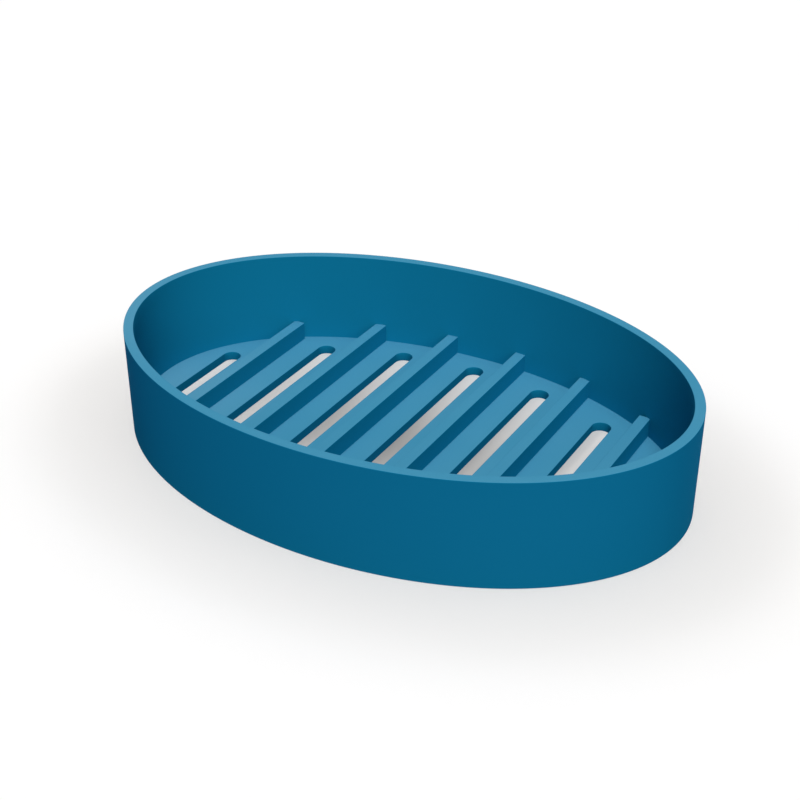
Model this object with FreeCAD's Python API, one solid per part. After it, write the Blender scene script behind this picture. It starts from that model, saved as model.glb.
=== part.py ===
import FreeCAD, Part
import math
import os

# Oval soap dish in plain moulded plastic: an upright oval wall round a flat floor. Round-ended
# slots through the floor let the water out, and straight ribs between the slots hold the soap
# up out of it. Nothing moves. All sizes are in millimetres. X runs along the dish, Y across it
# and Z up, and the origin is the middle of the footprint, on the surface the dish stands on.

# Outside of the dish
dish_length = 120.0
dish_width = 80.0
dish_height = 22.0

# Thickness of the plastic
wall_thickness = 2.0
floor_thickness = 2.0

# Drain slots, spread evenly along the floor
slot_count = 7
slot_width = 4.0
slot_to_wall = 4.0

# Ribs, one between each two slots
rib_width = 2.4
rib_height = 4.0
rib_end_reach = 0.5

# How far a cutting shape runs past the faces that it cuts
cut_overrun = 1.0

# The well inside the wall, and the bay of it that each slot has to itself
well_length = dish_length - 2 * wall_thickness
well_width = dish_width - 2 * wall_thickness
bay_length = well_length / slot_count


def well_reach(x):
    """Distance across, from the dish's long axis to the inner face of the wall, at x."""
    return well_width / 2 * math.sqrt(1 - (2 * x / well_length) ** 2)


def bay_places(count):
    """Places along X of a row of features that stand one bay apart, centred on the dish."""
    first = -bay_length * (count - 1) / 2
    return [first + bay_length * number for number in range(count)]


def oval_block(length, width, bottom, top):
    """Solid block with an oval outline and upright sides, from one height to another. The
    outline is four quarter arcs that meet on the axes, where the dish is longest and widest."""
    oval = Part.Ellipse(FreeCAD.Vector(0, 0, bottom), length / 2, width / 2)
    quarter = math.pi / 2
    starts = [quarter * number for number in range(4)]
    arcs = [Part.ArcOfEllipse(oval, start, start + quarter).toShape() for start in starts]
    return Part.Face(Part.Wire(arcs)).extrude(FreeCAD.Vector(0, 0, top - bottom))


def oval_wall():
    """Upright band that is the same thickness at both ends of both axes, with a flat rim."""
    outside = oval_block(dish_length, dish_width, 0, dish_height)
    well = oval_block(well_length, well_width, -cut_overrun, dish_height + cut_overrun)
    return outside.cut(well)


def drain_slot(x):
    """Cutting shape of one slot across the floor. Its round ends keep their distance from the
    wall, measured along the edge of the slot that lies farther out."""
    radius = slot_width / 2
    tip = well_reach(abs(x) + radius) - slot_to_wall
    turn = tip - radius
    bottom = -cut_overrun
    left_start = FreeCAD.Vector(x - radius, -turn, bottom)
    left_end = FreeCAD.Vector(x - radius, turn, bottom)
    far_tip = FreeCAD.Vector(x, tip, bottom)
    right_end = FreeCAD.Vector(x + radius, turn, bottom)
    right_start = FreeCAD.Vector(x + radius, -turn, bottom)
    near_tip = FreeCAD.Vector(x, -tip, bottom)
    edges = [
        Part.LineSegment(left_start, left_end).toShape(),
        Part.Arc(left_end, far_tip, right_end).toShape(),
        Part.LineSegment(right_end, right_start).toShape(),
        Part.Arc(right_start, near_tip, left_start).toShape(),
    ]
    through = FreeCAD.Vector(0, 0, floor_thickness + 2 * cut_overrun)
    return Part.Face(Part.Wire(edges)).extrude(through)


def drain_floor():
    """Flat plate that fills the foot of the wall, flush with its lower edge, with its slots."""
    plate = oval_block(well_length, well_width, 0, floor_thickness)
    slots = [drain_slot(x) for x in bay_places(slot_count)]
    return plate.cut(slots)


def soap_rib(x):
    """Straight square-edged bar that stands on the floor and runs across to the wall. It is cut
    to length for its outer side, so its other side stops a little short of the wall's curve
    towards the ends of the dish, and whatever would enter the wall is trimmed to fit it."""
    half_length = well_reach(abs(x) + rib_width / 2) + rib_end_reach
    corner = FreeCAD.Vector(x - rib_width / 2, -half_length, floor_thickness)
    bar = Part.makeBox(rib_width, 2 * half_length, rib_height, corner)
    return bar.common(oval_block(well_length, well_width, 0, dish_height))


def solid_of(shape):
    """The one solid that a cut or a trim leaves inside its compound."""
    return shape.Solids[0]


pieces = {"oval_wall": oval_wall(), "drain_floor": drain_floor()}
for number, x in enumerate(bay_places(slot_count - 1), start=1):
    pieces[f"rib_{number}"] = soap_rib(x)

os.makedirs("parts", exist_ok=True)
for name, shape in pieces.items():
    solid_of(shape).exportStep(f"parts/{name}.step")
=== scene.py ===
import math

import bmesh
import bpy
from mathutils import Matrix, Vector


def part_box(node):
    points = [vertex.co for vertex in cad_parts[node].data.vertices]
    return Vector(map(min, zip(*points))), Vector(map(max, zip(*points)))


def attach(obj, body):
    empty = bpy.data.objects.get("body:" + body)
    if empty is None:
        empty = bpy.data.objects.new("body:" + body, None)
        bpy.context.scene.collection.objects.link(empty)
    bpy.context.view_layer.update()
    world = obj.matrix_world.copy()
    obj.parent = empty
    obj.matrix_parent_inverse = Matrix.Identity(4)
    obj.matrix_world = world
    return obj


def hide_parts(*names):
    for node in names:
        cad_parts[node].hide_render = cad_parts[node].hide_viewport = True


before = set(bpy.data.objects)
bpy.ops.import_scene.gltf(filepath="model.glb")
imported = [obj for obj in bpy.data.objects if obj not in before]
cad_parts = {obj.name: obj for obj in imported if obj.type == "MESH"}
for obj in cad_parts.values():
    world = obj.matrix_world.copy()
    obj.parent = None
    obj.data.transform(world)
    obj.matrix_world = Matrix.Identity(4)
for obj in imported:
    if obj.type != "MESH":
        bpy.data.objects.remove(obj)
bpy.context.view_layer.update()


# The oval wall. The real one is an upright band of moulded plastic, two millimetres thick, with
# a flat rim whose edges are only just broken. It stands on its lower edge, and its inner face
# is an oval of its own that the floor fills.
wall_low, wall_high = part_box("oval_wall")
well_low, well_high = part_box("drain_floor")
oval_sides = 360
edge_softness = 0.0001
edge_steps = 3
sharpest_smooth_bend = math.radians(35)

# Sea blue, coloured all through, with soft clouds where the pigment flowed in the mould
deep_blue = (0.004, 0.214, 0.375, 1)
light_blue = (0.006, 0.223, 0.391, 1)
cloud_size = 0.030
cloud_detail = 2

# A painted sheen, thin and uneven, that makes the faces that look up paler, with a painted
# highlight round one place at the left end. A face has all of its sheen where the upward part of
# its normal is 1, and none where that part is under least_upward.
painted_sheen_white = (0.72, 0.92, 0.98, 1)
thinnest_painted_sheen = 0.061
thickest_painted_sheen = 0.079
patch_size = 0.012
patch_detail = 4
painted_highlight_place = Vector((-0.052, -0.010, 0.010))
painted_highlight_reach = 0.034
painted_highlight_strength = 0.050
least_upward = 0.5

# The even grain of the mould's surface
grain_size = 0.00035
grain_detail = 3
grain_depth = 0.000004
smoothest = 0.78
roughest = 0.88
shine = 0.01


def moulded_plastic():
    """Matt plastic in one colour, with a painted sheen making the faces that look up a shade
    paler.
    """
    plastic = bpy.data.materials.new("sea_blue_plastic")
    plastic.use_nodes = True
    nodes, links = plastic.node_tree.nodes, plastic.node_tree.links
    surface = nodes["Principled BSDF"]
    surface.inputs["Specular IOR Level"].default_value = shine
    place = nodes.new("ShaderNodeTexCoord")

    clouds = nodes.new("ShaderNodeTexNoise")
    clouds.inputs["Scale"].default_value = 1 / cloud_size
    clouds.inputs["Detail"].default_value = cloud_detail
    links.new(place.outputs["Object"], clouds.inputs["Vector"])
    pigment = nodes.new("ShaderNodeMix")
    pigment.data_type = "RGBA"
    pigment.inputs["A"].default_value = deep_blue
    pigment.inputs["B"].default_value = light_blue
    links.new(clouds.outputs["Fac"], pigment.inputs["Factor"])

    # painted sheen on the faces that look up, in uneven patches
    patches = nodes.new("ShaderNodeTexNoise")
    patches.inputs["Scale"].default_value = 1 / patch_size
    patches.inputs["Detail"].default_value = patch_detail
    links.new(place.outputs["Object"], patches.inputs["Vector"])
    thickness = nodes.new("ShaderNodeMapRange")
    thickness.inputs["To Min"].default_value = thinnest_painted_sheen
    thickness.inputs["To Max"].default_value = thickest_painted_sheen
    links.new(patches.outputs["Fac"], thickness.inputs["Value"])
    # painted highlight, strongest at one place at the left end and fading out round it
    from_highlight = nodes.new("ShaderNodeVectorMath")
    from_highlight.operation = "DISTANCE"
    from_highlight.inputs[1].default_value = painted_highlight_place
    links.new(place.outputs["Object"], from_highlight.inputs[0])
    painted_highlight = nodes.new("ShaderNodeMapRange")
    painted_highlight.interpolation_type = "SMOOTHSTEP"
    painted_highlight.inputs["From Max"].default_value = painted_highlight_reach
    painted_highlight.inputs["To Min"].default_value = painted_highlight_strength
    painted_highlight.inputs["To Max"].default_value = 0
    links.new(from_highlight.outputs["Value"], painted_highlight.inputs["Value"])
    sheen_and_highlight = nodes.new("ShaderNodeMath")
    sheen_and_highlight.operation = "ADD"
    links.new(thickness.outputs["Result"], sheen_and_highlight.inputs[0])
    links.new(painted_highlight.outputs["Result"], sheen_and_highlight.inputs[1])
    # the painted sheen and highlight fall only on faces that look up
    facing = nodes.new("ShaderNodeNewGeometry")
    split = nodes.new("ShaderNodeSeparateXYZ")
    links.new(facing.outputs["Normal"], split.inputs["Vector"])
    upward_share = nodes.new("ShaderNodeMapRange")
    upward_share.interpolation_type = "SMOOTHSTEP"
    upward_share.inputs["From Min"].default_value = least_upward
    links.new(split.outputs["Z"], upward_share.inputs["Value"])
    painted_sheen = nodes.new("ShaderNodeMath")
    painted_sheen.operation = "MULTIPLY"
    links.new(sheen_and_highlight.outputs["Value"], painted_sheen.inputs[0])
    links.new(upward_share.outputs["Result"], painted_sheen.inputs[1])
    colour = nodes.new("ShaderNodeMix")
    colour.data_type = "RGBA"
    colour.inputs["B"].default_value = painted_sheen_white
    links.new(painted_sheen.outputs["Value"], colour.inputs["Factor"])
    links.new(pigment.outputs["Result"], colour.inputs["A"])
    links.new(colour.outputs["Result"], surface.inputs["Base Color"])

    grain = nodes.new("ShaderNodeTexNoise")
    grain.inputs["Scale"].default_value = 1 / grain_size
    grain.inputs["Detail"].default_value = grain_detail
    links.new(place.outputs["Object"], grain.inputs["Vector"])
    dullness = nodes.new("ShaderNodeMapRange")
    dullness.inputs["To Min"].default_value = smoothest
    dullness.inputs["To Max"].default_value = roughest
    links.new(grain.outputs["Fac"], dullness.inputs["Value"])
    links.new(dullness.outputs["Result"], surface.inputs["Roughness"])
    relief = nodes.new("ShaderNodeBump")
    relief.inputs["Distance"].default_value = grain_depth
    links.new(grain.outputs["Fac"], relief.inputs["Height"])
    links.new(relief.outputs["Normal"], surface.inputs["Normal"])
    return plastic


plastic = moulded_plastic()
dish_alone = bpy.data.collections.new("dish_alone")


def oval_ring(bm, half_length, half_width, height):
    """The edges of one level oval."""
    ring = bmesh.ops.create_circle(bm, segments=oval_sides, radius=1)["verts"]
    bmesh.ops.scale(bm, verts=ring, vec=(half_length, half_width, 1))
    bmesh.ops.translate(bm, verts=ring, vec=(0, 0, height))
    return list({edge for vert in ring for edge in vert.link_edges})


def soften(bm, edges):
    """Breaks sharp edges by the small amount that a mould leaves."""
    bmesh.ops.bevel(
        bm,
        geom=edges,
        offset=edge_softness,
        segments=edge_steps,
        profile=0.5,
        affect="EDGES",
        material=-1,
    )


def dish_piece(name, bm, node):
    """Makes a finished mesh one piece of the dish, in place of its plainer solid."""
    bmesh.ops.recalc_face_normals(bm, faces=bm.faces)
    for face in bm.faces:
        face.smooth = True
    for edge in bm.edges:
        edge.smooth = edge.calc_face_angle(0) < sharpest_smooth_bend
    mesh = bpy.data.meshes.new(name)
    bm.to_mesh(mesh)
    bm.free()
    piece = bpy.data.objects.new(name, mesh)
    bpy.context.scene.collection.objects.link(piece)
    dish_alone.objects.link(piece)
    mesh.materials.append(plastic)
    even_light = piece.modifiers.new("even_light", "WEIGHTED_NORMAL")
    even_light.keep_sharp = True
    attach(piece, "root")
    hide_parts(node)


wall = bmesh.new()
foot_outside = oval_ring(wall, wall_high.x, wall_high.y, wall_low.z)
rim_outside = oval_ring(wall, wall_high.x, wall_high.y, wall_high.z)
rim_inside = oval_ring(wall, well_high.x, well_high.y, wall_high.z)
foot_inside = oval_ring(wall, well_high.x, well_high.y, wall_low.z)
rings = [foot_outside, rim_outside, rim_inside, foot_inside]
for ring, next_ring in zip(rings, rings[1:] + rings[:1]):
    bmesh.ops.bridge_loops(wall, edges=ring + next_ring)
soften(wall, foot_outside + rim_outside + rim_inside)
dish_piece("wall_band", wall, "oval_wall")


# The floor. One flat plate of the same plastic closes the foot of the wall, and seven slots with
# half-round ends are moulded through it to let the water out. Each slot ends the same distance
# from the wall.
slot_count = 7
slot_width = 0.004
slot_to_wall = 0.004
slot_sides = 48
least_corner = math.radians(60)


def well_reach(x):
    """Distance across, from the dish's long axis to the inner face of the wall, at x."""
    return well_high.y * math.sqrt(1 - (x / well_high.x) ** 2)


def slot_ring(bm, x, height):
    """The edges of one slot's outline: a circle whose two halves are moved apart. It is turned
    by half a side and drawn a little larger, so that its straight sides are the slot's width
    apart."""
    half_side = math.pi / slot_sides
    radius = slot_width / 2
    turned = Matrix.Rotation(half_side, 4, "Z")
    corner_radius = radius / math.cos(half_side)
    ring = bmesh.ops.create_circle(bm, segments=slot_sides, radius=corner_radius, matrix=turned)
    turn = well_reach(abs(x) + radius) - slot_to_wall - radius
    for vert in ring["verts"]:
        vert.co += Vector((x, math.copysign(turn, vert.co.y), height))
    return list({edge for vert in ring["verts"] for edge in vert.link_edges})


plate = bmesh.new()
outline = oval_ring(plate, well_high.x, well_high.y, well_high.z)
bay_length = (well_high.x - well_low.x) / slot_count
slot_outlines = []
for number in range(slot_count):
    slot_outlines += slot_ring(plate, well_low.x + bay_length * (number + 0.5), well_high.z)
bmesh.ops.triangle_fill(plate, edges=outline + slot_outlines, use_beauty=True, normal=(0, 0, 1))
bmesh.ops.solidify(plate, geom=plate.faces, thickness=well_high.z - well_low.z)

# The plate's outline stays sharp, because it meets the wall
slot_edges = [
    edge for edge in plate.edges
    if edge.calc_face_angle(0) > least_corner
    and all(abs(vert.co.y) < well_reach(vert.co.x) - slot_to_wall / 2 for vert in edge.verts)
]
soften(plate, slot_edges)
dish_piece("slotted_floor", plate, "drain_floor")


# The ribs. Six straight bars of the same plastic with square edges stand on the floor, one
# between each two slots, and keep the soap out of the water. They end against the wall, whose
# curve their ends follow in rib_steps steps.
rib_steps = 6
for number in range(1, slot_count):
    rib_low, rib_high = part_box(f"rib_{number}")
    middle = (rib_low + rib_high) / 2
    half = (rib_high - rib_low) / 2
    rib = bmesh.new()
    bmesh.ops.create_grid(rib, x_segments=rib_steps, y_segments=1, size=1)
    bmesh.ops.scale(rib, verts=rib.verts, vec=(half.x, half.y, 1))
    bmesh.ops.translate(rib, verts=rib.verts, vec=(middle.x, 0, rib_high.z))
    for vert in rib.verts:
        vert.co.y = math.copysign(min(half.y, well_reach(vert.co.x)), vert.co.y)
    bmesh.ops.solidify(rib, geom=rib.faces, thickness=rib_high.z - rib_low.z)
    long_edges = [
        edge for edge in rib.edges
        if all(vert.co.z > middle.z for vert in edge.verts)
        and edge.calc_length() > half.y
        and edge.calc_face_angle(0) > least_corner
    ]
    soften(rib, long_edges)
    dish_piece(f"soap_rib_{number}", rib, f"rib_{number}")


# The counter. A plain white laminate that the dish stands on, which lies a hair lower, so that
# its face and the dish's never share one place. From below it is clear, so that the underside of
# the dish can be looked at.
counter_reach = 3.0
counter_top = -0.00005
wholly_clear = (1, 1, 1, 1)

# Its white, of which counter_glow is a glow of its own. It is warmer beside the dish, to take
# back the blue that the plastic throws on it. A distance of 1 is the outline of the dish.
counter_white = (1, 0.991, 0.984, 1)
counter_glow = 0.431
beside_dish_white = (1, 0.958, 0.914, 1)
beside_dish = 1.05
clear_of_dish = 1.55

# The soft shade under the dish. It is an oval, whose length and width are shares of the dish's.
# At its darkest place, a little left of the middle, least_open of the white is left.
shade_length = 1.04
shade_width = 0.95
shade_grey = (0.02, 0.02, 0.02, 1)
darkest_place = Vector((-0.0024, 0, 0))
least_open = 0.40

# The little light that the counter returns to the dish. It is bluish, so that the outside of the
# dish is as blue as its inside.
returned_light = (0.02, 0.02, 0.18, 1)


def seen_directly(nodes, links):
    """1 where the camera sees a surface, itself or in a mirror or through glass, and 0 where
    only its light on other things counts."""
    ray = nodes.new("ShaderNodeLightPath")
    seen = nodes.new("ShaderNodeMath")
    seen.operation = "MAXIMUM"
    links.new(ray.outputs["Is Camera Ray"], seen.inputs[0])
    links.new(ray.outputs["Is Glossy Ray"], seen.inputs[1])
    seen_through = nodes.new("ShaderNodeMath")
    seen_through.operation = "MAXIMUM"
    links.new(seen.outputs["Value"], seen_through.inputs[0])
    links.new(ray.outputs["Is Transmission Ray"], seen_through.inputs[1])
    return seen_through.outputs["Value"]


counter_sheet = bmesh.new()
bmesh.ops.create_grid(counter_sheet, x_segments=1, y_segments=1, size=counter_reach)
bmesh.ops.translate(counter_sheet, verts=counter_sheet.verts, vec=(0, 0, counter_top))
counter_mesh = bpy.data.meshes.new("counter")
counter_sheet.to_mesh(counter_mesh)
counter_sheet.free()
counter = bpy.data.objects.new("counter", counter_mesh)
bpy.context.scene.collection.objects.link(counter)

laminate = bpy.data.materials.new("white_laminate")
laminate.use_nodes = True
nodes, links = laminate.node_tree.nodes, laminate.node_tree.links
nodes.clear()
finished = nodes.new("ShaderNodeOutputMaterial")
place = nodes.new("ShaderNodeTexCoord")

in_dish_lengths = nodes.new("ShaderNodeVectorMath")
in_dish_lengths.operation = "MULTIPLY"
in_dish_lengths.inputs[1].default_value = (1 / wall_high.x, 1 / wall_high.y, 0)
links.new(place.outputs["Object"], in_dish_lengths.inputs[0])
from_dish = nodes.new("ShaderNodeVectorMath")
from_dish.operation = "LENGTH"
links.new(in_dish_lengths.outputs["Vector"], from_dish.inputs[0])
apart = nodes.new("ShaderNodeMapRange")
apart.inputs["From Min"].default_value = beside_dish
apart.inputs["From Max"].default_value = clear_of_dish
links.new(from_dish.outputs["Value"], apart.inputs["Value"])
white = nodes.new("ShaderNodeMix")
white.data_type = "RGBA"
white.inputs["A"].default_value = beside_dish_white
white.inputs["B"].default_value = counter_white
links.new(apart.outputs["Result"], white.inputs["Factor"])
lit = nodes.new("ShaderNodeBsdfDiffuse")
links.new(white.outputs["Result"], lit.inputs["Color"])
glow = nodes.new("ShaderNodeEmission")
in_the_open = nodes.new("ShaderNodeMixShader")
in_the_open.inputs["Fac"].default_value = counter_glow
links.new(lit.outputs["BSDF"], in_the_open.inputs[1])
links.new(glow.outputs["Emission"], in_the_open.inputs[2])

shade_scale = Vector((1 / (wall_high.x * shade_length), 1 / (wall_high.y * shade_width), 0))
in_shade_lengths = nodes.new("ShaderNodeVectorMath")
in_shade_lengths.operation = "MULTIPLY"
in_shade_lengths.inputs[1].default_value = shade_scale
links.new(place.outputs["Object"], in_shade_lengths.inputs[0])
from_darkest = nodes.new("ShaderNodeVectorMath")
from_darkest.operation = "DISTANCE"
from_darkest.inputs[1].default_value = darkest_place * shade_scale
links.new(in_shade_lengths.outputs["Vector"], from_darkest.inputs[0])
openness = nodes.new("ShaderNodeMapRange")
openness.interpolation_type = "SMOOTHSTEP"
openness.inputs["To Min"].default_value = least_open
links.new(from_darkest.outputs["Value"], openness.inputs["Value"])
in_shade = nodes.new("ShaderNodeBsdfDiffuse")
in_shade.inputs["Color"].default_value = shade_grey
seen_face = nodes.new("ShaderNodeMixShader")
links.new(openness.outputs["Result"], seen_face.inputs["Fac"])
links.new(in_shade.outputs["BSDF"], seen_face.inputs[1])
links.new(in_the_open.outputs["Shader"], seen_face.inputs[2])

unseen_face = nodes.new("ShaderNodeBsdfDiffuse")
unseen_face.inputs["Color"].default_value = returned_light
upper_face = nodes.new("ShaderNodeMixShader")
links.new(seen_directly(nodes, links), upper_face.inputs["Fac"])
links.new(unseen_face.outputs["BSDF"], upper_face.inputs[1])
links.new(seen_face.outputs["Shader"], upper_face.inputs[2])
side = nodes.new("ShaderNodeNewGeometry")
clear = nodes.new("ShaderNodeBsdfTransparent")
clear.inputs["Color"].default_value = wholly_clear
one_sided = nodes.new("ShaderNodeMixShader")
links.new(side.outputs["Backfacing"], one_sided.inputs["Fac"])
links.new(upper_face.outputs["Shader"], one_sided.inputs[1])
links.new(clear.outputs["BSDF"], one_sided.inputs[2])
links.new(one_sided.outputs["Shader"], finished.inputs["Surface"])
counter_mesh.materials.append(laminate)


# The light of a plain white studio. The dish has a lamp above it, one beside the camera, half of
# which throws no shadow, and weaker ones low down all round and below, so that no side goes dark.
# The counter has a ring of lamps to itself, stronger over the ends, for one soft even shadow.
beside_camera = -53
beside_camera_share = 0.38
nearly_level = 1
nearly_upright = 89.9


def soft_lamp(name, heading, height, share, spread, lights_only, blocked_by=None):
    """A far lamp, share 1 of which shows a white surface square to it as white. Its heading from
    the dish's right end, its height above the counter and its spread are in degrees. Everything
    blocks it, unless it is given the only things that do."""
    lamp = bpy.data.lights.new(name, "SUN")
    lamp.energy = math.pi * share
    lamp.angle = math.radians(spread)
    stand = bpy.data.objects.new(name, lamp)
    bpy.context.scene.collection.objects.link(stand)
    across = math.cos(math.radians(height))
    towards = Vector((
        across * math.cos(math.radians(heading)),
        across * math.sin(math.radians(heading)),
        math.sin(math.radians(height)),
    ))
    stand.rotation_mode = "QUATERNION"
    stand.rotation_quaternion = towards.to_track_quat("Z", "Y")
    stand.light_linking.receiver_collection = lights_only
    stand.light_linking.blocker_collection = blocked_by


counter_alone = bpy.data.collections.new("counter_alone")
counter_alone.objects.link(counter)
soft_lamp(
    "lamp_above",
    heading=90, height=nearly_upright, share=0.19, spread=20, lights_only=dish_alone,
)
soft_lamp(
    "lamp_beside_camera",
    heading=beside_camera, height=60, share=beside_camera_share, spread=20,
    lights_only=dish_alone,
)
soft_lamp(
    "shadowless_lamp_beside_camera",
    heading=beside_camera, height=60, share=beside_camera_share, spread=20,
    lights_only=dish_alone, blocked_by=counter_alone,
)
soft_lamp(
    "lamp_low_in_front",
    heading=beside_camera, height=20, share=0.13, spread=20, lights_only=dish_alone,
)
soft_lamp(
    "lamp_behind",
    heading=100, height=45, share=0.06, spread=40, lights_only=dish_alone,
)
soft_lamp(
    "lamp_low_behind",
    heading=80, height=nearly_level, share=0.20, spread=10,
    lights_only=dish_alone, blocked_by=dish_alone,
)
soft_lamp(
    "lamp_low_at_left",
    heading=143, height=nearly_level, share=0.20, spread=10,
    lights_only=dish_alone, blocked_by=dish_alone,
)
soft_lamp(
    "lamp_below",
    heading=90, height=-nearly_upright, share=0.40, spread=5,
    lights_only=dish_alone, blocked_by=dish_alone,
)

counter_lamps = 12
counter_share = 1.39
more_from_the_ends = 0.30
for number in range(counter_lamps):
    heading = 360 / counter_lamps * (number + 0.5)
    # 1 over the dish's ends and -1 over its sides
    over_an_end = math.cos(2 * math.radians(heading))
    share = counter_share / counter_lamps * (1 + more_from_the_ends * over_an_end)
    soft_lamp(
        f"counter_lamp_{number + 1}",
        heading=heading, height=42, share=share, spread=24, lights_only=counter_alone,
    )

studio_white = (1, 1, 1, 1)
room_light = 0.096
backdrop_light = 1.0
world = bpy.data.worlds.new("white_studio")
world.use_nodes = True
bpy.context.scene.world = world
nodes, links = world.node_tree.nodes, world.node_tree.links
nodes.clear()
finished = nodes.new("ShaderNodeOutputWorld")
air = nodes.new("ShaderNodeBackground")
air.inputs["Color"].default_value = studio_white
air.inputs["Strength"].default_value = room_light
backdrop = nodes.new("ShaderNodeBackground")
backdrop.inputs["Color"].default_value = studio_white
backdrop.inputs["Strength"].default_value = backdrop_light
air_or_backdrop = nodes.new("ShaderNodeMixShader")
links.new(seen_directly(nodes, links), air_or_backdrop.inputs["Fac"])
links.new(air.outputs["Background"], air_or_backdrop.inputs[1])
links.new(backdrop.outputs["Background"], air_or_backdrop.inputs[2])
links.new(air_or_backdrop.outputs["Shader"], finished.inputs["Surface"])
bpy.context.scene.view_settings.view_transform = "Standard"


# The camera stands in front of the dish, to the right of its middle and above it, and looks at
# the middle of the dish. Its film and its lens, a short portrait lens, are in millimetres.
film_width = 36
focal_length = 62.79
nearest_view = 0.01
camera_place = (0.119234, -0.205251, 0.149912)
dish_middle = (wall_low + wall_high) / 2
lens = bpy.data.cameras.new("camera")
lens.sensor_width = film_width
lens.lens = focal_length
lens.clip_start = nearest_view
camera = bpy.data.objects.new("camera", lens)
bpy.context.scene.collection.objects.link(camera)
camera.location = camera_place
camera.rotation_mode = "QUATERNION"
camera.rotation_quaternion = (dish_middle - camera.location).to_track_quat("-Z", "Y")
bpy.context.scene.camera = camera
